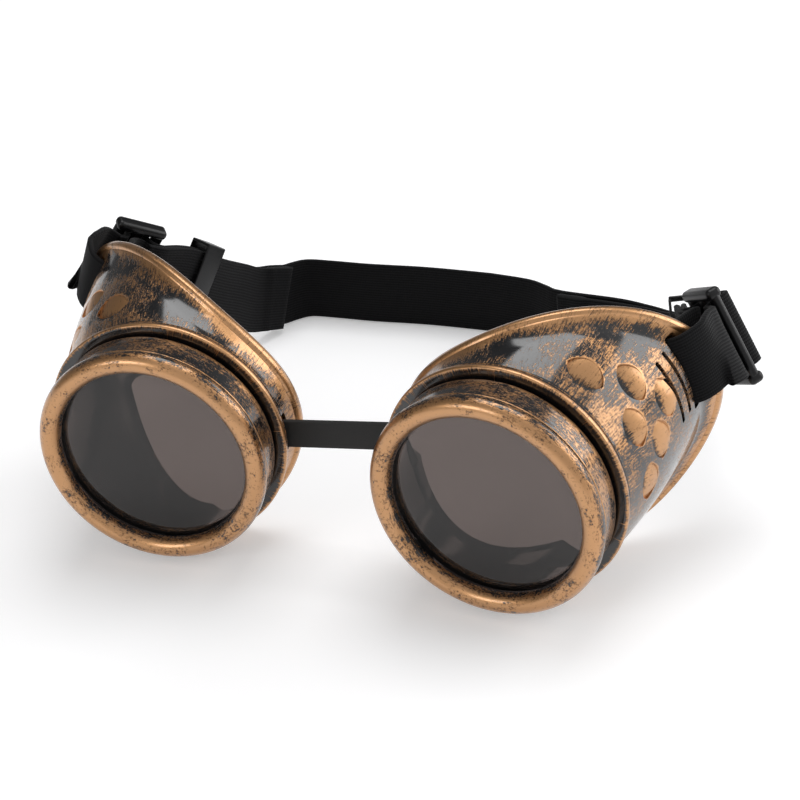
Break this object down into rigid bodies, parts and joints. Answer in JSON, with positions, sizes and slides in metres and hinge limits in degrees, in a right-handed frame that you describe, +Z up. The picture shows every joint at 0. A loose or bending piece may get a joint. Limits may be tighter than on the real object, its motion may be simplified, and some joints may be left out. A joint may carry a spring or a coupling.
{
  "type": "steampunk goggles",
  "caption": "Round-eye goggles with moulded cups, screw-on retaining rings, tinted lenses, a flat nose strap and an adjustable elastic headband with tri-glides and keepers.",
  "frame": {"origin": "bottom centre of the goggles as they rest: the plane through the cups' lips and the headband's lower edge, midway between the cups and midway from the rings to the back of the headband", "axes": "-Y is the front, the way the wearer looks; +X is the wearer's left; +Z is up"},
  "size_m": [0.1963, 0.1402, 0.0719],
  "materials": {
    "cup_copper": "moulded black plastic with brushed antique copper plating",
    "ring_copper": "brushed antique copper plating, darker in the grooves",
    "lens_tint": "clear gloss, brown-grey tint",
    "gasket_rubber": "matte",
    "buckle_black": "satin",
    "elastic_black": "woven elastic, ribbed lengthwise",
    "strap_black": "matte"
  },
  "bodies": {
    "left_cup": {"left_eye_cup": "cup_copper", "left_tri_glide": "buckle_black", "nose_strap": "strap_black", "headband": "elastic_black"},
    "right_cup": {"right_eye_cup": "cup_copper", "right_tri_glide": "buckle_black"},
    "left_lens_set": {"left_lens": "lens_tint", "left_lens_gasket": "gasket_rubber"},
    "left_ring": {"left_retaining_ring": "ring_copper"},
    "right_lens_set": {"right_lens": "lens_tint", "right_lens_gasket": "gasket_rubber"},
    "right_ring": {"right_retaining_ring": "ring_copper"},
    "left_keeper": {"left_keeper": "buckle_black"},
    "right_keeper": {"right_keeper": "buckle_black"}
  },
  "joints": [
    {"name": "nose_flex", "type": "hinge", "parent": "left_cup", "child": "right_cup", "pos_m": [0, -0.0465, 0.034], "axis": [0, 0, 1], "range_deg": [-12, 12], "deforming": ["headband", "nose_strap"]},
    {"name": "left_ring_travel", "type": "slide", "parent": "left_cup", "child": "left_lens_set", "axis": [-0.0924, -0.9957, 0], "range_m": [0, 0.006]},
    {"name": "left_ring_turn", "type": "hinge", "parent": "left_lens_set", "child": "left_ring", "pos_m": [0.0445, -0.0654, 0.0322], "axis": [-0.0924, -0.9957, 0], "range_deg": [0, 866]},
    {"name": "right_ring_travel", "type": "slide", "parent": "right_cup", "child": "right_lens_set", "axis": [0.0924, -0.9957, 0], "range_m": [0, 0.006]},
    {"name": "right_ring_turn", "type": "hinge", "parent": "right_lens_set", "child": "right_ring", "pos_m": [-0.0445, -0.0654, 0.0322], "axis": [0.0924, -0.9957, 0], "range_deg": [0, 866]},
    {"name": "left_keeper_slide", "type": "slide", "parent": "left_cup", "child": "left_keeper", "axis": [-0.2121, 0.7893, -0.5762], "range_m": [-0.004, 0.012]},
    {"name": "right_keeper_slide", "type": "slide", "parent": "right_cup", "child": "right_keeper", "axis": [0.187, 0.7891, -0.5851], "range_m": [-0.004, 0.012]}
  ],
  "couplings": [
    {"joint": "left_ring_turn", "follows": "left_ring_travel", "rad_per_m": 2513.3},
    {"joint": "right_ring_turn", "follows": "right_ring_travel", "rad_per_m": 2513.3}
  ]
}
